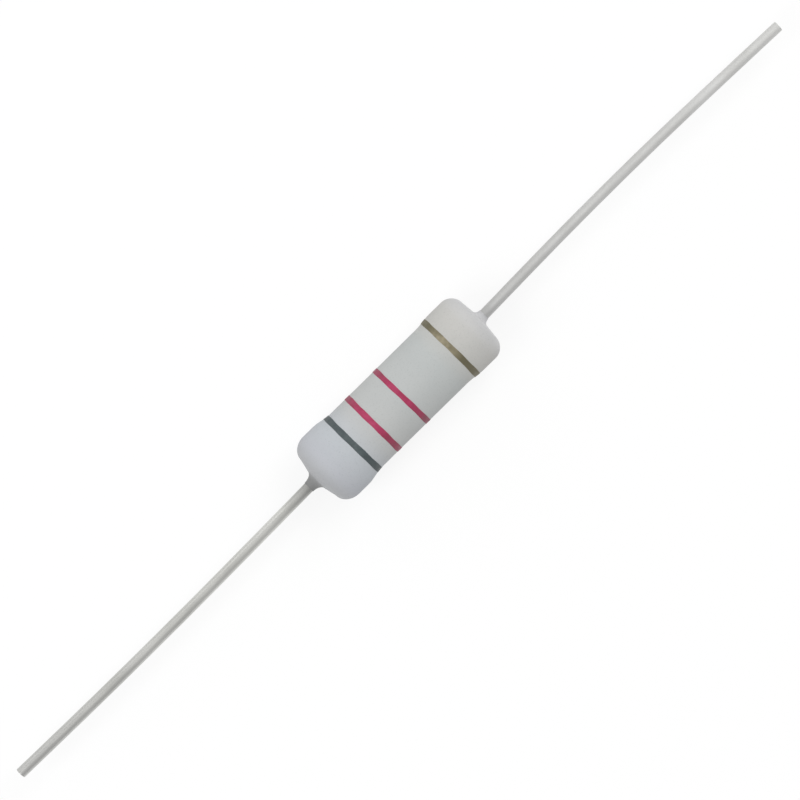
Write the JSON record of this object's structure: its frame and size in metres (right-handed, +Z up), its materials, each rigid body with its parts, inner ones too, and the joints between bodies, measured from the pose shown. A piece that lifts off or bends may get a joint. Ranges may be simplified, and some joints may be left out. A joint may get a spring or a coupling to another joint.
{
  "type": "axial resistor",
  "caption": "Axial power resistor with a matt grey coated body, four colour bands and two straight tinned wire leads.",
  "frame": {"origin": "middle of the ceramic rod, on its axis", "axes": "+X along the leads, from the first colour band towards the tolerance band; +Z up as the part lies; +Y across it"},
  "size_m": [0.071, 0.0054, 0.0054],
  "materials": {
    "rod_ceramic": "matt fired ceramic",
    "film": "dark satin oxide film",
    "cap_steel": "plated, satin",
    "tinned_wire": "tinned copper, satin",
    "coating": "matt cement coating",
    "slate_ink": "matt ink",
    "red_ink": "matt ink",
    "gold_ink": "matt metallic ink"
  },
  "bodies": {
    "root": {"ceramic_rod": "rod_ceramic", "resistive_film": "film", "left_end_cap": "cap_steel", "right_end_cap": "cap_steel", "left_lead": "tinned_wire", "right_lead": "tinned_wire", "coating": "coating", "first_digit_band": "slate_ink", "second_digit_band": "red_ink", "multiplier_band": "red_ink", "tolerance_band": "gold_ink"}
  },
  "joints": []
}
